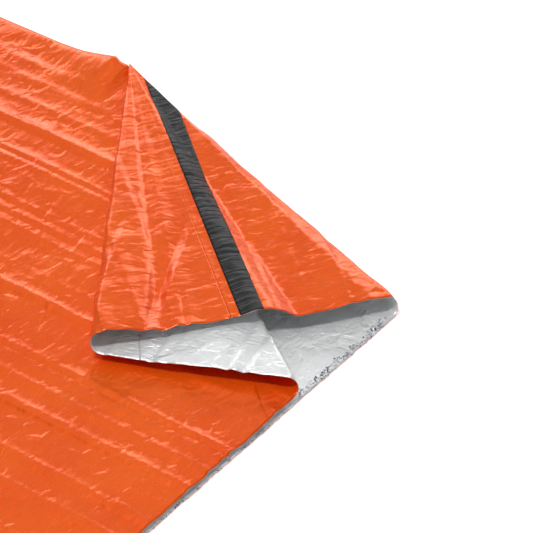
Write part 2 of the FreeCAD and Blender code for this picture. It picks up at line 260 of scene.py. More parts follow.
@dataclass
class Section:
    """The turned corner's shape, as one curve round the apex that scales with distance.

    The curve gives a plan angle and a height for each angle of the flat film. Heights are those
    at the rim, and shrink to a base height at the apex.
    """

    lay: Layout
    outer_top: float = 0.0245
    edge_top: float = 0.0410
    edge_low: float = 0.0160
    inner_top: float = 0.0245
    inner_low: float = 0.0075
    ground: float = 0.0006
    bulge: float = 0.42  # how far a loop stands out, as a share of its height
    strip: float = 0.055  # plain film kept on each end of the curve, in radians
    # offsets of the flap's rim: share of the way from the outer loop to the edge loop, height
    rim_wave: tuple = ((0.0, 0.0), (0.06, 0.0035), (0.18, -0.002), (0.32, -0.0075), (0.40, 0.0085),
                       (0.46, 0.0105), (0.52, 0.0020), (0.64, -0.003), (0.72, 0.0005),
                       (0.785, -0.0085), (0.83, -0.001), (0.92, 0.0015), (1.0, 0.0))
    lip_wave: tuple = ((0.0, 0.0), (0.2, -0.0012), (0.45, 0.001), (0.7, 0.0035), (1.0, 0.0))
    # height at the apex of each run of the curve, from the ground round to the top panel
    bases: tuple = (0.0006, 0.011, 0.0205, 0.0180, 0.0150, 0.0120, 0.0100)
    base_blur: int = 30  # points on each side over which those heights run into each other
    shrink: float = 1.05  # how the rim's height falls to the base's, as a power of the distance
    wave_blur: int = 15

    def __post_init__(self) -> None:
        """Traces the curve once, densely, and measures it."""
        lay, reach = self.lay, self.lay.reach
        self.outer_turn = lay.outer + self.bulge * self.outer_top / reach * 0.1
        self.inner_turn = lay.inner + self.bulge * (self.inner_top - self.inner_low) / reach * 0.8
        self.edge_turn = lay.edge - self.bulge * (self.edge_top - self.edge_low) / reach * 0.2
        runs = [
            self.flat_run(self.outer_turn + self.strip, self.outer_turn, self.ground, self.ground),
            self.loop(self.outer_turn, self.ground, self.outer_top, -1),
            self.wavy_run(self.outer_turn, self.edge_turn, self.outer_top, self.edge_top, self.rim_wave),
            self.loop(self.edge_turn, self.edge_top, self.edge_low, 1),
            self.wavy_run(self.edge_turn, self.inner_turn, self.edge_low, self.inner_top, self.lip_wave),
            self.loop(self.inner_turn, self.inner_top, self.inner_low, -1),
            self.flat_run(self.inner_turn, self.inner_turn + self.strip, self.inner_low, self.inner_low),
        ]
        plan = np.concatenate([run[0] for run in runs])
        height = np.concatenate([run[1] for run in runs])
        base = np.concatenate([np.full(len(run[0]), level) for run, level in zip(runs, self.bases)])
        window = 2 * self.base_blur + 1
        base = np.convolve(np.pad(base, self.base_blur, mode="edge"), np.ones(window) / window, mode="valid")
        step = np.hypot(np.diff(plan) * reach, np.diff(height))
        length = np.concatenate([[0.0], np.cumsum(step)])
        marks = np.cumsum([len(run[0]) for run in runs])
        start, end = length[marks[0]], length[marks[5]]
        share = (length - start) / (end - start)
        film = -self.outer_turn + share * (self.outer_turn + self.inner_turn)
        first, last = slice(0, marks[0]), slice(marks[5], None)
        film[first], film[last] = -plan[first], plan[last]
        self.film, self.plan, self.height, self.base = film, plan, height, base
        self.lip_start, self.lip_end = float(film[marks[3]]), float(film[marks[4]])

    @staticmethod
    def flat_run(start: float, end: float, low: float, high: float) -> tuple:
        """A straight stretch of the curve."""
        return np.linspace(start, end, 80), np.linspace(low, high, 80)

    def loop(self, angle: float, start: float, end: float, way: int) -> tuple:
        """Half an ellipse at a fold, from one height to the other.

        Args:
            angle: Plan angle of the loop's two ends.
            start: Height where the curve comes in.
            end: Height where it leaves.
            way: -1 to bulge towards the side fold, 1 away from it.

        Returns:
            Plan angles and heights.
        """
        turn = np.linspace(0, math.pi, 120)
        out = self.bulge * abs(end - start) / self.lay.reach
        return angle + way * out * np.sin(turn), start + (end - start) * (1 - np.cos(turn)) / 2

    def wavy_run(self, start: float, end: float, low: float, high: float, wave: Sequence) -> tuple:
        """A stretch between two loops, with its rim lifted and dropped by given offsets."""
        share = np.linspace(0, 1, 500)
        at, lift = np.array(wave).T
        smooth = np.interp(share, at, lift)
        kernel = np.hanning(2 * self.wave_blur + 1)
        smooth = np.convolve(np.pad(smooth, self.wave_blur, mode="edge"), kernel / kernel.sum(), mode="valid")
        return start + (end - start) * share, low + (high - low) * share + smooth

    def place(self, film: Array, share: Array) -> Array:
        """Points of the film in the turned corner.

        Args:
            film: Angle of the flat film about the apex: negative on the bottom panel.
            share: 0 at the apex and 1 at the rim.

        Returns:
            Points, with x, y and z in the last axis.
        """
        plan = np.interp(film, self.film, self.plan)
        rim = np.interp(film, self.film, self.height)
        base = np.interp(film, self.film, self.base)
        radius = share * self.lay.reach / np.cos(film)
        height = base + (rim - base) * share ** self.shrink
        x = self.lay.apex[0] - radius * np.sin(plan)
        y = self.lay.apex[1] - radius * np.cos(plan)
        return np.stack([x, y, height], axis=-1)


# ---- meshes ----


@dataclass
class FilmGrid:
    """A sheet of film as rows and columns of points, with its flat coordinates.

    Columns and rows run so that their cross product points out of the orange face.
    """

    points: Array
    d: Array
    y: Array

    def normals(self) -> Array:
        """Unit vectors out of the orange face at each point."""
        column = np.gradient(self.points, axis=1)
        row = np.gradient(self.points, axis=0)
        normal = np.cross(column, row)
        size = np.linalg.norm(normal, axis=-1)
        known = size > 1e-11
        order = np.arange(size.shape[1])[None, :]
        before = np.maximum.accumulate(np.where(known, order, -1), axis=1)
        after = np.minimum.accumulate(np.where(known, order, 10 ** 6)[:, ::-1], axis=1)[:, ::-1]
        nearest = np.where(before >= 0, before, np.where(after < 10 ** 6, after, 0))
        normal = np.take_along_axis(normal, nearest[..., None], axis=1)
        size = np.take_along_axis(size, nearest, axis=1)
        return normal / np.maximum(size, 1e-12)[..., None]

    def raised(self, height: Array) -> "FilmGrid":
        """The same film moved out of its orange face by these heights."""
        return FilmGrid(self.points + self.normals() * height[..., None], self.d, self.y)

    def solid(self, name: str, low: float, high: float) -> bpy.types.Object:
        """A closed thin mesh between two offsets from the film's middle.

        Args:
            name: The piece's name.
            low: Offset of the inner side, in metres, towards the silver face if negative.
            high: Offset of the outer side.

        Returns:
            The new object, in the scene.
        """
        rows, columns = self.d.shape
        normal = self.normals()
        outer = (self.points + normal * high).reshape(-1, 3)
        inner = (self.points + normal * low).reshape(-1, 3)
        index = np.arange(rows * columns).reshape(rows, columns)
        a, b = index[:-1, :-1].ravel(), index[:-1, 1:].ravel()
        c, e = index[1:, 1:].ravel(), index[1:, :-1].ravel()
        top = np.stack([a, b, c, e], axis=1)
        count = rows * columns
        edge = np.concatenate([index[0, :], index[1:, -1], index[-1, -2::-1], index[-2:0:-1, 0]])
        after = np.roll(edge, -1)
        wall = np.stack([after, edge, edge + count, after + count], axis=1)
        faces = np.concatenate([top, top[:, ::-1] + count, wall])
        mesh = bpy.data.meshes.new(name)
        mesh.from_pydata(np.concatenate([outer, inner]).tolist(), [], faces.tolist())
        mesh.polygons.foreach_set("use_smooth", [True] * (2 * len(top)) + [False] * len(wall))
        flat = np.stack([self.d.ravel(), self.y.ravel()], axis=1)
        flat = np.concatenate([flat, flat])
        layer = mesh.uv_layers.new(name="film")
        corners = np.empty(len(mesh.loops), dtype=np.int32)
        mesh.loops.foreach_get("vertex_index", corners)
        layer.data.foreach_set("uv", flat[corners].astype(np.float32).ravel())
        return finish_mesh(name, mesh)


def link(name: str, data: bpy.types.ID) -> bpy.types.Object:
    """Puts data in the scene as a new object."""
    made = bpy.data.objects.new(name, data)
    bpy.context.scene.collection.objects.link(made)
    return made


def finish_mesh(name: str, mesh: bpy.types.Mesh) -> bpy.types.Object:
    """Merges doubles, drops flat faces and links the mesh to the scene."""
    work = bmesh.new()
    work.from_mesh(mesh)
    bmesh.ops.remove_doubles(work, verts=work.verts, dist=2e-5)
    bmesh.ops.dissolve_degenerate(work, edges=work.edges, dist=1e-6)
    work.to_mesh(mesh)
    work.free()
    return link(name, mesh)


@dataclass
class Repeat:
    """Geometry Nodes that set one small shape again and again along a line."""

    unit: Unit
    count: int
    low: tuple  # smallest size, in metres
    high: tuple
    spin: tuple  # largest turn about each axis, in radians
    scatter: tuple = (0.0, 0.0, 0.0)  # furthest off the line
    seed: int = 7

    def tree(self, name: str, material: bpy.types.Material) -> tuple:
        """Builds the node tree.

        Args:
            name: The tree's name.
            material: What the shapes are made of.

        Returns:
            The tree, and its inputs' values by socket identifier.
        """
        tree = bpy.data.node_groups.new(name, "GeometryNodeTree")
        tree.interface.new_socket("Geometry", in_out="INPUT", socket_type="NodeSocketGeometry")
        tree.interface.new_socket("Geometry", in_out="OUTPUT", socket_type="NodeSocketGeometry")
        kinds = {"Count": ("NodeSocketInt", self.count), "Seed": ("NodeSocketInt", self.seed),
                 "Smallest": ("NodeSocketVector", self.low), "Largest": ("NodeSocketVector", self.high),
                 "Spin": ("NodeSocketVector", self.spin), "Scatter": ("NodeSocketVector", self.scatter)}
        values = {}
        for label, (kind, value) in kinds.items():
            values[tree.interface.new_socket(label, in_out="INPUT", socket_type=kind).identifier] = value
        start = tree.nodes.new("NodeGroupInput")
        curve = tree.nodes.new("GeometryNodeMeshToCurve")
        points = tree.nodes.new("GeometryNodeResampleCurve")
        shape = tree.nodes.new("GeometryNodeMeshIcoSphere" if self.unit is Unit.FLAKE
                               else "GeometryNodeMeshCylinder")
        if self.unit is Unit.RIB:
            shape.inputs["Vertices"].default_value = 8
            shape.inputs["Radius"].default_value = 1.0
        place = tree.nodes.new("GeometryNodeInstanceOnPoints")
        move = tree.nodes.new("GeometryNodeSetPosition")
        real = tree.nodes.new("GeometryNodeRealizeInstances")
        paint = tree.nodes.new("GeometryNodeSetMaterial")
        paint.inputs["Material"].default_value = material
        end = tree.nodes.new("NodeGroupOutput")
        for low, high, target in (
            ("Smallest", "Largest", place.inputs["Scale"]),
            (None, "Spin", place.inputs["Rotation"]),
            (None, "Scatter", move.inputs["Offset"]),
        ):
            chance = tree.nodes.new("FunctionNodeRandomValue")
            chance.data_type = "FLOAT_VECTOR"
            least = start.outputs[low or high]
            if low is None:
                back = tree.nodes.new("ShaderNodeVectorMath")
                back.operation = "SCALE"
                back.inputs["Scale"].default_value = -1.0
                tree.links.new(least, back.inputs[0])
                least = back.outputs[0]
            tree.links.new(least, chance.inputs["Min"])
            tree.links.new(start.outputs[high], chance.inputs["Max"])
            tree.links.new(start.outputs["Seed"], chance.inputs["Seed"])
            tree.links.new(chance.outputs["Value"], target)
        for source, target in (
            (start.outputs["Geometry"], curve.inputs["Mesh"]),
            (curve.outputs["Curve"], points.inputs["Curve"]),
            (start.outputs["Count"], points.inputs["Count"]),
            (points.outputs["Curve"], move.inputs["Geometry"]),
            (move.outputs["Geometry"], place.inputs["Points"]),
            (shape.outputs["Mesh"], place.inputs["Instance"]),
            (place.outputs["Instances"], real.inputs["Geometry"]),
            (real.outputs["Geometry"], paint.inputs["Geometry"]),
            (paint.outputs["Geometry"], end.inputs["Geometry"]),
        ):
            tree.links.new(source, target)
        return tree, values

    def build(self, name: str, line: Array, material: bpy.types.Material) -> bpy.types.Object:
        """Sets the shapes along a line of points and makes one plain mesh of them.

        Args:
            name: The piece's name.
            line: Points of the line.
            material: What the shapes are made of.

        Returns:
            The new object, in the scene.
        """
        path = bpy.data.meshes.new(f"{name}_path")
        path.from_pydata(line.tolist(), [(k, k + 1) for k in range(len(line) - 1)], [])
        guide = link(f"{name}_guide", path)
        tree, values = self.tree(name, material)
        modifier = guide.modifiers.new("repeat", "NODES")
        modifier.node_group = tree
        for identifier, value in values.items():
            modifier[identifier] = value
        bpy.context.view_layer.update()
        evaluated = guide.evaluated_get(bpy.context.evaluated_depsgraph_get())
        mesh = bpy.data.meshes.new_from_object(evaluated)
        guide.modifiers.remove(modifier)
        bpy.data.objects.remove(guide)
        mesh.name = name
        log.info("%s: %d shapes", name, self.count)
        return link(name, mesh)


# ---- finishes ----


class Tree:
    """A short way to write a material's nodes."""

    def __init__(self, name: str) -> None:
        """Starts an empty material."""
        self.material = bpy.data.materials.new(name)
        self.material.use_nodes = True
        self.nodes = self.material.node_tree.nodes
        self.links = self.material.node_tree.links
        self.shader = self.nodes["Principled BSDF"]

    def add(self, kind: str, settings: Optional[dict] = None, **inputs) -> bpy.types.Node:
        """Adds a node.

        Args:
            kind: The node's type.
            settings: Its properties.
            inputs: Its sockets, by name with _ for a space, or i0, i1 by number. A socket of
                another node is linked, and anything else is set.

        Returns:
            The node.
        """
        node = self.nodes.new(kind)
        for key, value in (settings or {}).items():
            setattr(node, key, value)
        for key, value in inputs.items():
            self.put(node.inputs[int(key[1:])] if key[1:].isdigit() else
                     node.inputs[key.replace("_", " ")], value)
        return node

    def put(self, socket: bpy.types.NodeSocket, value: object) -> None:
        """Links a socket to another, or sets its value."""
        if isinstance(value, bpy.types.NodeSocket):
            self.links.new(value, socket)
        else:
            socket.default_value = value

    def math(self, how: str, *values) -> bpy.types.NodeSocket:
        """The result of a Math node on up to three values."""
        node = self.add("ShaderNodeMath", {"operation": how})
        for socket, value in zip(node.inputs, values):
            self.put(socket, value)
        return node.outputs[0]

    def scaled(self, scale: tuple, shift: tuple = (0, 0, 0), turn: float = 0.0) -> bpy.types.NodeSocket:
        """Film coordinates, scaled, moved and turned."""
        uv = self.add("ShaderNodeUVMap", {"uv_map": "film"})
        node = self.add("ShaderNodeMapping", Vector=uv.outputs[0], Scale=scale, Location=shift,
                        Rotation=(0, 0, turn))
        return node.outputs[0]

    def noise(self, where: bpy.types.NodeSocket, scale: float, detail: float = 2.0,
              colour: bool = False) -> bpy.types.NodeSocket:
        """Noise at these coordinates."""
        node = self.add("ShaderNodeTexNoise", Vector=where, Scale=scale, Detail=detail)
        return node.outputs["Color" if colour else "Fac"]

    def crumple(self, size: float, tilt: float, stretch: tuple, turn: float,
                shift: float) -> bpy.types.NodeSocket:
        """Height of a patchwork of flat facets, each tilted its own way.

        Args:
            size: A facet's size, in metres.
            tilt: The steepest slope.
            stretch: Scale of the pattern along the film's two directions.
            turn: Direction of the stretch, in radians.
            shift: Moves the pattern.

        Returns:
            Height in metres.
        """
        where = self.scaled((stretch[0], stretch[1], 1), (shift, shift * 1.7, 0), turn)
        wander = self.noise(where, 0.6 / size, 1.0, colour=True)
        centred = self.add("ShaderNodeVectorMath", {"operation": "SUBTRACT"}, i0=wander, i1=(0.5, 0.5, 0.5))
        moved = self.add("ShaderNodeVectorMath", {"operation": "MULTIPLY_ADD"}, i0=centred.outputs[0],
                         i1=(size * 0.9, size * 0.9, 0), i2=where)
        cells = {"voronoi_dimensions": "2D", "feature": "F1"}
        cell = self.add("ShaderNodeTexVoronoi", cells, Vector=moved.outputs[0], Scale=1 / size)
        edges = {"voronoi_dimensions": "2D", "feature": "DISTANCE_TO_EDGE"}
        edge = self.add("ShaderNodeTexVoronoi", edges, Vector=moved.outputs[0], Scale=1 / size)
        local = self.add("ShaderNodeVectorMath", {"operation": "SUBTRACT"}, i0=moved.outputs[0],
                         i1=cell.outputs["Position"])
        slope = self.add("ShaderNodeVectorMath", {"operation": "SUBTRACT"}, i0=cell.outputs["Color"],
                         i1=(0.5, 0.5, 0.5))
        lean = self.add("ShaderNodeVectorMath", {"operation": "DOT_PRODUCT"}, i0=local.outputs[0],
                        i1=slope.outputs[0])
        fade = self.add("ShaderNodeMapRange", {"interpolation_type": "SMOOTHSTEP"},
                        Value=edge.outputs["Distance"], From_Min=0.035, From_Max=0.24)
        return self.math("MULTIPLY", self.math("MULTIPLY", lean.outputs["Value"], 2 * tilt), fade.outputs[0])

    def grain(self, scale: float, detail: float, stretch: tuple, depth: float,
              shift: tuple = (0, 0, 0)) -> bpy.types.NodeSocket:
        """Height of fine noise on the film, up to this depth in metres."""
        return self.math("MULTIPLY", self.noise(self.scaled(stretch, shift), scale, detail), depth)

    def fix(self, **values: float) -> None:
        """Sets the shader's own constants, by name with _ for a space."""
        for name, value in values.items():
            self.shader.inputs[name.replace("_", " ")].default_value = value

    def bump(self, *heights: bpy.types.NodeSocket) -> None:
        """Adds up heights in metres and turns them into the shader's normal."""
        total = heights[0]
        for height in heights[1:]:
            total = self.math("ADD", total, height)
        node = self.add("ShaderNodeBump", Strength=1.0, Distance=1.0, Height=total)
        self.links.new(node.outputs[0], self.shader.inputs["Normal"])

    def ramp(self, value: bpy.types.NodeSocket, low: tuple, high: tuple, start: float = 0.0,
             end: float = 1.0) -> bpy.types.NodeSocket:
        """A colour between two, by a value."""
        node = self.add("ShaderNodeValToRGB", i0=value)
        node.color_ramp.elements[0].position, node.color_ramp.elements[1].position = start, end
        node.color_ramp.elements[0].color = (*low, 1)
        node.color_ramp.elements[1].color = (*high, 1)
        return node.outputs[0]


@dataclass(frozen=True)
class OrangeFilm:
    """The film's outside: orange plastic over a metallised layer."""

    lit: tuple = (0.98, 0.128, 0.006)
    deep: tuple = (0.92, 0.098, 0.004)
    metallic: float = 0.30
    roughness: float = 0.27
    specular: float = 0.22
    coat: float = 0.09
    coat_roughness: float = 0.06

    def build(self) -> bpy.types.Material:
        """Makes the material."""
        tree = Tree("orange_film")
        cloud = tree.noise(tree.scaled((1, 1, 1)), 9.0, 3.0)
        tree.put(tree.shader.inputs["Base Color"], tree.ramp(cloud, self.deep, self.lit, 0.3, 0.62))
        worn = tree.noise(tree.scaled((1, 2, 1), (3, 1, 0)), 60.0, 3.0)
        rough = tree.math("MULTIPLY_ADD", worn, 0.2, self.roughness - 0.1)
        tree.put(tree.shader.inputs["Roughness"], rough)
        tree.fix(Metallic=self.metallic, Specular_IOR_Level=self.specular, Coat_Weight=self.coat,
                 Coat_Roughness=self.coat_roughness)
        tree.bump(
            tree.crumple(0.034, 0.034, (1.0, 1.5), 0.25, 0.0),
            tree.crumple(0.0150, 0.030, (0.7, 1.5), 0.1, 4.3),
            tree.grain(330.0, 2.0, (0.5, 1.6, 1), 0.00003, (1, 5, 0)),
        )
        return tree.material


@dataclass(frozen=True)
class SilverFilm:
    """The film's inside: bright metallised layer, finely crinkled."""

    bright: tuple = (0.92, 0.93, 0.93)
    dull: tuple = (0.84, 0.85, 0.86)
    roughness: float = 0.36
    metallic: float = 0.40

    def build(self) -> bpy.types.Material:
        """Makes the material."""
        tree = Tree("silver_film")
        cloud = tree.noise(tree.scaled((1, 1, 1), (7, 2, 0)), 38.0, 4.0)
        tree.put(tree.shader.inputs["Base Color"], tree.ramp(cloud, self.dull, self.bright, 0.3, 0.6))
        worn = tree.noise(tree.scaled((1, 1, 1), (2, 9, 0)), 90.0, 3.0)
        tree.put(tree.shader.inputs["Roughness"], tree.math("MULTIPLY_ADD", worn, 0.22, self.roughness - 0.1))
        tree.fix(Metallic=self.metallic)
        tree.bump(
            tree.crumple(0.026, 0.05, (1.0, 1.3), 0.5, 1.0),
            tree.crumple(0.009, 0.08, (0.8, 1.4), 0.2, 2.2),
            tree.grain(420.0, 2.0, (1, 1, 1), 0.00010, (1, 5, 0)),
        )
        return tree.material


@dataclass(frozen=True)
class BlackTape:
    """The seam tape: black, satin, with fine creases across it."""

    dark: tuple = (0.009, 0.009, 0.010)
    worn: tuple = (0.027, 0.028, 0.029)
    specular: float = 0.22

    def build(self) -> bpy.types.Material:
        """Makes the material."""
        tree = Tree("black_tape")
        cloud = tree.noise(tree.scaled((1, 1, 1)), 90.0, 4.0)
        tree.put(tree.shader.inputs["Base Color"], tree.ramp(cloud, self.dark, self.worn, 0.35, 0.7))
        rough = tree.math("MULTIPLY_ADD", tree.noise(tree.scaled((0.4, 2, 1)), 120.0, 2.0), 0.25, 0.26)
        tree.put(tree.shader.inputs["Roughness"], rough)
        tree.fix(Specular_IOR_Level=self.specular)
        tree.bump(
            tree.crumple(0.016, 0.16, (0.35, 1.6), 0.06, 2.0),
            tree.grain(150.0, 3.0, (0.25, 2.4, 1), 0.00055, (5, 5, 0)),
        )
        return tree.material


@dataclass(frozen=True)
class FrayedFoil:
    """The film's cut edge, where the metal layer has crumbled and darkened."""

    dark: tuple = (0.10, 0.12, 0.17)
    pale: tuple = (0.62, 0.65, 0.70)
    metallic: float = 0.7
    roughness: float = 0.38

    def build(self) -> bpy.types.Material:
        """Makes the material."""
        tree = Tree("frayed_foil")
        where = tree.add("ShaderNodeTexCoord").outputs["Object"]
        patch = tree.noise(where, 70.0, 3.0)
        tree.put(tree.shader.inputs["Base Color"], tree.ramp(patch, self.dark, self.pale, 0.45, 0.62))
        tree.fix(Metallic=self.metallic, Roughness=self.roughness)
        tree.bump(tree.math("MULTIPLY", tree.noise(where, 600.0, 2.0), 0.0002))
        return tree.material


@dataclass(frozen=True)
class Finishes:
    """Every finish, built once."""

    orange: bpy.types.Material
    silver: bpy.types.Material
    tape: bpy.types.Material
    fray: bpy.types.Material


# ---- the sack ----


@dataclass
class Film:
    """What all the pieces of film share: places, creases, rows and thickness."""

    lay: Layout
    section: Section
    creases: Creases = field(default_factory=Creases)
    shell: float = 0.00018
    liner: float = 0.00015
    rows_turned: int = 122
    overhang: float = 0.0052  # the bottom panel's rim stands out past the top's by this share
    side_crease: float = 0.0013  # height of the pressed side fold
    side_crease_half: float = 0.008
    calm_edge: float = 0.010  # the relief fades over this width at a piece's edge
    calm_apex: float = 0.12  # and over this share of the reach at the apex

    def shares(self) -> Array:
        """Rows from the apex to the rim, as shares of the reach. All panels use them."""
        return np.linspace(0, 1, self.rows_turned)

    def longer(self, film: Array) -> Array:
        """How much further the rim reaches at this film angle."""
        return 1 + self.overhang * ease(-film / 0.08)

    def relief(self, d: Array, y: Array, panel: int) -> Array:
        """Relief of the bottom (1) or top (2) panel, quiet under the tape."""
        height = self.creases.relief(d, y, 100 * panel)
        if panel == 1:
            taped = ease((d - 0.006) / 0.005) * ease((0.039 - d) / 0.005)
            height = height * (1 - 0.6 * taped)
        else:
            height = height + self.creases.dented(d, y - self.lay.mouth_y)
        return height

    def turned(self, angle: Array, share: Array, start: float, end: float, panel: int) -> tuple:
        """Film of the turned corner, and its relief, which dies out towards two film angles.

        Args:
            angle: Film angle of each point.
            share: 0 at the apex and 1 at the rim.
            start: The film angle where the relief starts.
            end: The film angle where it stops.
            panel: 1 for the bottom panel and 2 for the top.

        Returns:
            The smooth grid and the heights of its relief.
        """
        reach = share * self.lay.reach
        points = self.section.place(angle, share * self.longer(angle))
        d, y = np.abs(reach * np.tan(angle)), self.lay.apex[1] - reach
        window = ease(np.minimum(angle - start, end - angle) * reach / self.calm_edge)
        return FilmGrid(points, d, y), self.relief(d, y, panel) * window * ease(share / self.calm_apex)

    def dress(self, grid: FilmGrid, name: str, finishes: Finishes) -> tuple:
        """Makes the orange and the silver sheet of one grid."""
        shell = grid.solid(f"{name}_shell", 0.0, self.shell)
        liner = grid.solid(f"{name}_liner", -self.liner, 0.0)
        shell.data.materials.append(finishes.orange)
        liner.data.materials.append(finishes.silver)
        log.info("film %s: %d faces a side", name, len(shell.data.polygons) // 2)
        return shell, liner


@dataclass
class BodyPanels:
    """The bottom and top panels where they lie on the ground, with both side folds."""

    film: Film
    step: float = 0.0070
    dense_run: float = 0.30
    dense_step: float = 0.0072
    long_step: float = 0.0165
    level: float = 0.0062
    side_level: float = 0.0030
    side_round: float = 0.010
    foot_level: float = 0.0019
    foot_run: float = 0.075
    foot_gather: float = 0.0005
    calm_fold: float = 0.018
    calm_side: float = 0.012
    puffs: tuple = ((0.0018, 0.23, 5), (0.0012, 0.11, 6))  # height, size and seed
    held_run: float = 0.075  # how far the top panel stays up beside the corner's fold
    lowest: float = 0.0016
    sway: float = 0.0022
    sway_size: float = 0.16
    # the far side's film stands up where the corner's folds meet: distance past the apex, height
    crest: tuple = ((0.0, 0.0195), (0.011, 0.0195), (0.019, 0.0255), (0.048, 0.0185), (0.079, 0.0115),
                    (0.12, 0.0070), (0.2, 0.0055), (3.0, 0.0050))

    def lines(self) -> Array:
        """Column places, far to near: an even grid that also has every fold line and its foot."""
        lay = self.film.lay
        even = np.arange(0, lay.width, self.step)
        near = np.concatenate([self.film.creases.lines(), [0.003, lay.width - 0.003]])
        far = even[np.min(np.abs(even[:, None] - near[None, :]), axis=1) > 0.0028]
        places = np.unique(np.round(np.concatenate([far, near, [0, lay.width]]), 5))
        return places[::-1]

    def rows(self, scale: float) -> Array:
        """Row places from the foot to the mouth, as y in the row frame."""
        lay = self.film.lay
        dense = np.arange(lay.apex[1] + self.dense_run, lay.apex[1], -self.dense_step)
        back = np.arange(lay.foot_y, dense[0] + self.long_step / 2, -self.long_step)
        back = np.concatenate([back, dense, [lay.apex[1]]])
        return np.concatenate([back, lay.apex[1] - self.film.shares()[1:] * lay.reach * scale])

    def grid(self, top: bool) -> FilmGrid:
        """One panel's film, down on the ground or over it."""
        film, lay, section = self.film, self.film.lay, self.film.section
        scale = 1.0 if top else 1 + film.overhang
        turn = (section.inner_turn if top else section.outer_turn) + section.strip * 0.96
        d, y = np.meshgrid(self.lines(), self.rows(scale))
        fold = np.maximum(lay.apex[1] - y, 0) * math.tan(turn)
        d = np.maximum(d, fold)
        from_fold = (d - fold) * math.cos(turn)
        turned = y < lay.apex[1]
        past = y - lay.apex[1]
        crest = np.interp(past, *np.array(self.crest).T)
        tight = self.side_round * (0.3 + 0.7 * ease(past / 0.12))
        far_gap = np.where(turned, tight * ease(-past / 0.03), 0) + d
        near_gap = lay.width - d
        near = near_gap < lay.width / 2
        gap = np.where(near, near_gap / self.side_round, far_gap / tight)
        round_off = np.sqrt(1 - (1 - np.clip(gap, 0, 1)) ** 2)
        side = np.where(near, self.side_level, self.side_level + np.maximum(crest - 0.005, 0) * 0.75)
        window = ease(from_fold / self.calm_fold) * ease(near_gap / self.calm_side)
        relief = film.relief(d, y, 2 if top else 1) * window
        share = np.clip((lay.apex[1] - y) / lay.reach, 0, 1)
        if top:
            end = section.place(np.full_like(share, turn), share)[..., 2]
            puff = sum(rise * swell(d, y, size, seed) for rise, size, seed in self.puffs)
            open_level = self.level + puff + relief
            held = np.where(turned, end, crest)
            run = np.where(turned, self.held_run, 0.030 + 0.045 * np.clip(1 - past / 0.12, 0, 1))
            height = held + (open_level - held) * ease(from_fold / run)
            down = ease((y - (lay.foot_y - self.foot_run)) / (self.foot_run - 0.022))
            gathers = self.foot_gather * (1 + swell(d, y * 0.1, 0.021, 9)) * (1 - down)
            height = height + (self.foot_level + gathers - height) * down
            height = np.maximum(height, self.lowest)
        else:
            height = section.ground + np.abs(relief) * 0.35
        height = side + (height - side) * round_off
        sway = self.sway * swell(y, y * 0, self.sway_size, 3) * np.clip((y - lay.apex[1]) / 0.1, 0, 1)
        x = lay.side_x - d + sway * np.clip(1 - d / 0.2, 0, 1)
        ragged = 0.0009 * facets(d, y * 0, 0.006, 21 + top) + 0.0008 * swell(d, y * 0, 0.031, 23 + top)
        points = np.stack([x, y + ragged * ease((share - 0.9) / 0.1), height], axis=-1)
        if top:
            return FilmGrid(points[:, ::-1], d[:, ::-1], y[:, ::-1])
        return FilmGrid(points, d, y)

    def build(self, finishes: Finishes) -> None:
        """Makes both panels and hands them to the sack's body."""
        upper = ("upper", "near_side_fold", "far_side_fold", "foot")
        taken = {
            "ground_panel": (math.tan(self.film.section.outer_turn), ("lower",)),
            "top_panel": (math.tan(self.film.section.inner_turn), upper),
        }
        for name, (slope, nodes) in taken.items():
            grid = self.grid(top=name == "top_panel")
            for piece, layer in zip(self.film.dress(grid, name, finishes), ("shell", "liner")):
                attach(piece, "sack")
                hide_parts(*(f"{node}_{layer}" for node in nodes))


@dataclass
class Turned:
    """One stretch of film round the turned corner, between two film angles."""

    name: str
    start: float
    end: float
    bodies: tuple
    nodes: tuple
    columns: int


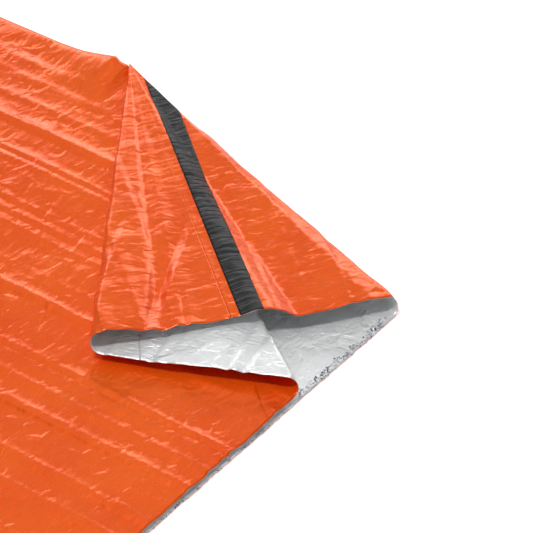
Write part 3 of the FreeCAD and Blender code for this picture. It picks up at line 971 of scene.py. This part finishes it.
@dataclass
class Corner:
    """The mouth corner turned back over the top, with its three rolled folds."""

    film: Film
    split: float = 0.24  # where the lip's film changes piece, as a share of its way

    def stretches(self) -> list:
        """The pieces of the corner, in order round the apex."""
        section = self.film.section
        split = section.lip_start + self.split * (section.lip_end - section.lip_start)
        first, last = section.film[0], section.film[-1]
        return [
            Turned("outer_turn", first, 0.0, ("sack", "outer_flap"), ("outer_flap", "outer_fold"), 120),
            Turned("edge_turn", 0.0, split, ("inner_flap", "edge_flap"), ("edge_flap", "edge_fold"), 130),
            Turned("inner_turn", split, last, ("sack", "inner_flap"), ("inner_flap", "inner_fold"), 120),
        ]

    def grid(self, stretch: Turned) -> FilmGrid:
        """Film of one stretch, creased."""
        film = self.film
        angles = np.linspace(stretch.start, stretch.end, stretch.columns)
        angle, share = np.meshgrid(angles, film.shares())
        panel = 1 if stretch.start < 0 else 2
        smooth, relief = film.turned(angle, share, stretch.start, stretch.end, panel)
        near_fold = np.clip(1 - smooth.d / film.side_crease_half, 0, 1)
        fold = film.side_crease * near_fold * ease(share / 0.1)
        relief += fold * (0.7 + 0.4 * swell(smooth.d * 0, smooth.y, 0.05, 8))
        creased = smooth.raised(relief)
        creased.points[..., 2] = np.maximum(creased.points[..., 2], film.section.ground)
        return creased

    def blend(self, piece: bpy.types.Object, stretch: Turned) -> None:
        """Works out a plane between a fold's two layers for a piece, which is not applied, and bakes the
        piece's transform into its mesh.
        """
        lay, section = self.film.lay, self.film.section
        edge_middle = (section.edge_top + section.edge_low) / 2
        inner_middle = (section.inner_top + section.inner_low) / 2
        # plan angle, the plane's height at the apex and at the rim, its lean, and the blend's width
        table = {
            "outer_turn": (section.outer_turn, 0.0105, section.outer_top / 2, 0.03, 0.005),
            "edge_turn": (section.edge_turn, 0.0178, edge_middle, 0.0, 0.003),
            "inner_turn": (section.inner_turn, 0.0125, inner_middle, 0.08, 0.0025),
        }
        turn, low, high, lean, width = table[stretch.name]
        along, out = lay.heading(turn), lay.out_of(turn)
        rise = (high - low) * math.cos(turn) / lay.reach
        normal = Vector((*(-rise * along - lean * out), 1.0))
        normal.normalize()
        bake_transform(piece)

    def build(self, finishes: Finishes) -> None:
        """Makes the three stretches of film."""
        for stretch in self.stretches():
            grid = self.grid(stretch)
            for piece, layer in zip(self.film.dress(grid, stretch.name, finishes), ("shell", "liner")):
                self.blend(piece, stretch)
                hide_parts(*(f"{node}_{layer}" for node in stretch.nodes))


@dataclass
class SeamTape:
    """The side seam: black tape outside and the film's own lap inside."""

    film: Film
    corner: Corner
    near: float = 0.010
    far: float = 0.035
    lap_near: float = 0.0165
    lap_far: float = 0.0285
    past_fold: float = 0.8  # where the strip's two parts meet, as a share of the plain film there
    rows_turned: int = 150
    rows_ground: int = 180

    def strip(self, near: float, far: float, columns: int, offset: float) -> FilmGrid:
        """A strip of the bottom panel's corner, parallel to the side fold."""
        film, lay, section = self.film, self.film.lay, self.film.section
        start = math.tan(section.outer_turn + section.strip * self.past_fold)
        spread = np.linspace(0, 1, columns)
        d = far + (near - far) * spread[None, :]
        first = d / (lay.reach * start)
        down = np.linspace(0, 1, self.rows_turned)[:, None]
        share = first + (1 - first) * down
        angle = -np.arctan(d / (share * lay.reach))
        smooth, relief = film.turned(angle, share, section.film[0], 0.0, 1)
        return smooth.raised(relief + offset)

    def ground_strip(self, near: float, far: float, offset: float) -> FilmGrid:
        """The strip's other part, on the underside from the fold to the foot."""
        lay, section = self.film.lay, self.film.section
        start = math.tan(section.outer_turn + section.strip * self.past_fold)
        d = np.linspace(far, near, 6)[None, :]
        first = lay.apex[1] - d / start
        run = np.linspace(0, 1, self.rows_ground)[:, None]
        y = first + (lay.foot_y - 0.001 - first) * run
        d = np.broadcast_to(d, y.shape)
        x = lay.side_x - d
        z = np.full_like(x, section.ground) - offset
        grid = FilmGrid(np.stack([x, y, z], axis=-1), d, y)
        return FilmGrid(grid.points[::-1], grid.d[::-1], grid.y[::-1])

    def build(self, finishes: Finishes) -> None:
        """Makes tape and lap on the turned corner and on the ground."""
        stretch = self.corner.stretches()[0]
        length = self.film.lay.reach
        long = self.film.lay.foot_y - self.film.lay.apex[1]
        tape = self.strip(self.near, self.far, 12, 0.0003).solid("flap_tape", 0.0, 0.00022)
        lap = self.strip(self.lap_near, self.lap_far, 6, -0.00030).solid("flap_lap", -0.0002, 0.0)
        ground_tape = self.ground_strip(self.near, self.far, 0.0002).solid("side_tape", 0.0, 0.0002)
        ground_lap = self.ground_strip(self.lap_near, self.lap_far, -0.0004).solid("side_lap", -0.0002, 0.0)
        for piece, finish, name, node, width, run in (
            (tape, finishes.tape, "black_tape", "flap_seam_tape", self.far - self.near, length),
            (lap, finishes.silver, "silver_film", "flap_seam_lap", self.lap_far - self.lap_near, length),
            (ground_tape, finishes.tape, "black_tape", "side_seam_tape", self.far - self.near, long),
            (ground_lap, finishes.silver, "silver_film", "side_seam_lap", self.lap_far - self.lap_near, long),
        ):
            piece.data.materials.append(finish)
            if node.startswith("flap"):
                self.corner.blend(piece, stretch)
            else:
                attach(piece, "sack")
            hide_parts(node)


@dataclass
class Foot:
    """The sealed foot: a weld pressed with ribs, and tape over it."""

    lay: Layout
    band: float = 0.025
    rib_pitch: float = 0.006

    def band_grid(self, low: float, depth: float, seed: int) -> FilmGrid:
        """A flat band across the foot, slightly uneven."""
        lay = self.lay
        d = np.linspace(0.004, lay.width - 0.004, 240)[None, :]
        y = np.linspace(lay.foot_y - 0.0005, lay.foot_y - self.band, 8)[:, None]
        d, y = np.broadcast_arrays(d, y)
        z = low + depth * (0.5 + 0.5 * swell(d, y, 0.018, seed))
        return FilmGrid(np.stack([lay.side_x - d, y, z], axis=-1), d, y)

    def build(self, finishes: Finishes) -> None:
        """Makes the weld and the tape."""
        weld = self.band_grid(0.0011, 0.0, 1).solid("foot_seal", -0.0004, 0.0)
        count = int(self.lay.width / self.rib_pitch)
        rib = (0.0007, 0.00035, self.band * 0.42)
        across = np.linspace(0.006, self.lay.width - 0.006, 40)
        middle = self.lay.foot_y - self.band / 2
        line = np.stack([self.lay.side_x - across, across * 0 + middle, across * 0 + 0.0025], axis=-1)
        ribs = Repeat(Unit.RIB, count, rib, rib, (0, 0, 0)).build("foot_ribs", line, finishes.tape)
        ribs.data.transform(Matrix.Translation((0, middle, 0.0025)) @ Matrix.Rotation(math.pi / 2, 4, "X")
                            @ Matrix.Translation((0, -middle, -0.0025)))
        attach(ribs, "sack")
        tape = self.band_grid(0.0024, 0.0003, 2).solid("foot_tape_band", 0.0, 0.0002)
        for piece, finish, name, node in (
            (weld, finishes.silver, "silver_film", "foot_weld"),
            (tape, finishes.tape, "black_tape", "foot_tape"),
        ):
            piece.data.materials.append(finish)
            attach(piece, "sack")
            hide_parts(node)


@dataclass
class MouthEdge:
    """The raw cut edge of the mouth, frayed by handling."""

    lay: Layout
    inset: float = 0.0024

    def line(self, start: float, end: float, height: float, depth: float, seed: int) -> Array:
        """Points along the rim, from one distance off the seam side to another."""
        lay = self.lay
        d = np.linspace(start, end, 160)
        wander = depth * swell(d, d * 0, 0.009, seed)
        y = lay.mouth_y + self.inset + wander
        z = height + 0.0004 * swell(d, d * 0, 0.006, seed + 1)
        return np.stack([lay.side_x - d, y, z], axis=-1)

    def build(self, finishes: Finishes) -> None:
        """Makes the flakes, most of them where the inside shows."""
        first = self.lay.reach * math.tan(self.lay.outer)
        last = self.lay.reach * math.tan(self.lay.inner)
        bare = Repeat(Unit.FLAKE, 240, (0.0003, 0.0002, 0.0001), (0.0026, 0.0013, 0.0002), (0.3, 0.3, 3.1),
                      scatter=(0.006, 0.0050, 0.0003))
        worn = Repeat(Unit.FLAKE, 260, (0.0002, 0.0002, 0.0001), (0.0022, 0.0010, 0.0002), (0.2, 0.2, 3.1),
                      scatter=(0.003, 0.0012, 0.0002), seed=11)
        flakes = (
            ("mouth_flakes", bare, self.line(first + 0.012, last - 0.004, 0.0014, 0.0030, 4)),
            ("mouth_crumbs", worn, self.line(last + 0.004, self.lay.width - 0.004, 0.0012, 0.0010, 6)
             - np.array([0, 0.0045, 0])),
        )
        for name, repeat, line in flakes:
            piece = repeat.build(name, line, finishes.fray)
            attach(piece, "sack")


# ---- studio ----


@dataclass
class Studio:
    """Floor, lamps and camera."""

    target: tuple = (0.2384, -0.8856, 0.0)
    azimuth: float = -53.15
    elevation: float = 38.0
    distance: float = 3.8
    lens: float = 210.15
    sensor: float = 36.0
    floor_half: float = 12.0
    floor_drop: float = 0.0004
    floor_grey: float = 0.9
    floor_glow: float = 0.45
    sky: float = 0.24
    # name, azimuth, elevation, distance, size, power
    lamps: tuple = (("key", -95, 69, 3.2, (0.45, 0.45), 45), ("ceiling", 150, 80, 3.0, (1.6, 1.6), 9),
                    ("back_wall", 127, 54, 3.4, (4.2, 1.5), 9), ("back_strip", 124, 19, 3.2, (3.8, 0.7), 34))

    def aim(self, name: str, data: bpy.types.ID, azimuth: float, elevation: float,
            distance: float) -> bpy.types.Object:
        """A lamp or camera this far from the target and facing it, where azimuth 0 looks along +Y."""
        a, e = math.radians(azimuth), math.radians(elevation)
        aside = Vector((math.sin(a) * math.cos(e), -math.cos(a) * math.cos(e), math.sin(e)))
        made = link(name, data)
        made.location = Vector(self.target) + aside * distance
        made.rotation_euler = (Vector(self.target) - made.location).to_track_quat("-Z", "Y").to_euler()
        return made

    def lamp(self, name: str, azimuth: float, elevation: float, distance: float, size: tuple,
             power: float) -> None:
        """A soft box that faces the target."""
        data = bpy.data.lights.new(name, "AREA")
        data.shape, data.size, data.size_y, data.energy = "RECTANGLE", size[0], size[1], power
        self.aim(name, data, azimuth, elevation, distance)

    def floor(self) -> None:
        """A plain pale floor, lit to near white."""
        mesh = bpy.data.meshes.new("floor")
        far, drop, grey = self.floor_half, -self.floor_drop, self.floor_grey
        corners = [(-far, -far, drop), (far, -far, drop), (far, far, drop), (-far, far, drop)]
        mesh.from_pydata(corners, [], [(0, 1, 2, 3)])
        floor = link("floor", mesh)
        material = bpy.data.materials.new("pale_floor")
        material.use_nodes = True
        shader = material.node_tree.nodes["Principled BSDF"]
        shader.inputs["Base Color"].default_value = (grey, grey, grey, 1)
        shader.inputs["Roughness"].default_value = 0.9
        shader.inputs["Emission Color"].default_value = (1, 1, 1, 1)
        shader.inputs["Emission Strength"].default_value = self.floor_glow
        mesh.materials.append(material)

    def build(self) -> None:
        """Sets up everything round the sack."""
        scene = bpy.context.scene
        self.floor()
        world = bpy.data.worlds.new("studio")
        world.use_nodes = True
        light = world.node_tree.nodes["Background"]
        light.inputs["Color"].default_value = (1, 1, 1, 1)
        light.inputs["Strength"].default_value = self.sky
        scene.world = world
        for lamp in self.lamps:
            self.lamp(*lamp)
        data = bpy.data.cameras.new("camera")
        data.lens, data.sensor_width = self.lens, self.sensor
        scene.camera = self.aim("camera", data, self.azimuth, self.elevation, self.distance)
        scene.view_settings.view_transform = "Standard"


def main() -> None:
    """Builds the sack and its studio, in order."""
    logging.basicConfig(level=logging.INFO)
    Studio().build()
    lay = Layout()
    film = Film(lay, Section(lay))
    finishes = Finishes(OrangeFilm().build(), SilverFilm().build(), BlackTape().build(),
                        FrayedFoil().build())
    BodyPanels(film).build(finishes)
    corner = Corner(film)
    corner.build(finishes)
    SeamTape(film, corner).build(finishes)
    Foot(lay).build(finishes)
    MouthEdge(lay).build(finishes)


if __name__ == "__main__":
    main()
